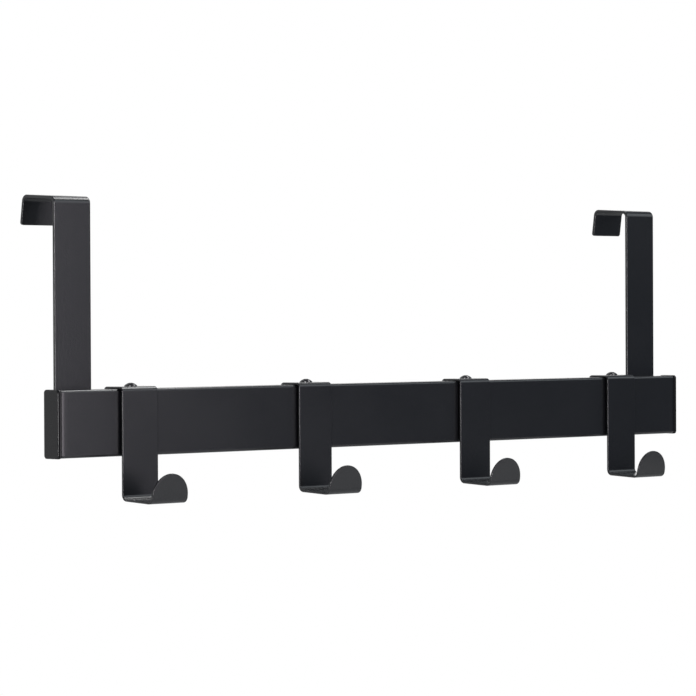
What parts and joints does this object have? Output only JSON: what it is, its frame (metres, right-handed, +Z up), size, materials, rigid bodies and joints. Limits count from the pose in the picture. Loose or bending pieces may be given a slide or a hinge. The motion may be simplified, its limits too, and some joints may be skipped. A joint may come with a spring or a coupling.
{
  "type": "over door hook rail",
  "caption": "Black steel hook rail that hangs over a door: a capped rectangular tube on folded strip brackets, with folded strip hooks screwed over the tube's top.",
  "frame": {"origin": "middle of the door's top front edge, half way between the two brackets", "axes": "+X along the rail to the right as seen from the room, +Y through the door's thickness, +Z up"},
  "size_m": [0.5, 0.0714, 0.1673],
  "materials": {
    "black_powder_coat": "satin black powder coat on folded steel",
    "black_cap_plastic": "matte black moulded plastic",
    "black_screw_steel": "black-coated steel screws"
  },
  "bodies": {
    "root": {"rail_tube": "black_powder_coat", "end_cap_left": "black_cap_plastic", "end_cap_right": "black_cap_plastic", "door_bracket_left": "black_powder_coat", "door_bracket_right": "black_powder_coat", "hook_1": "black_powder_coat", "hook_2": "black_powder_coat", "hook_3": "black_powder_coat", "hook_4": "black_powder_coat", "hook_screws": "black_screw_steel", "bracket_screws": "black_screw_steel"}
  },
  "joints": []
}
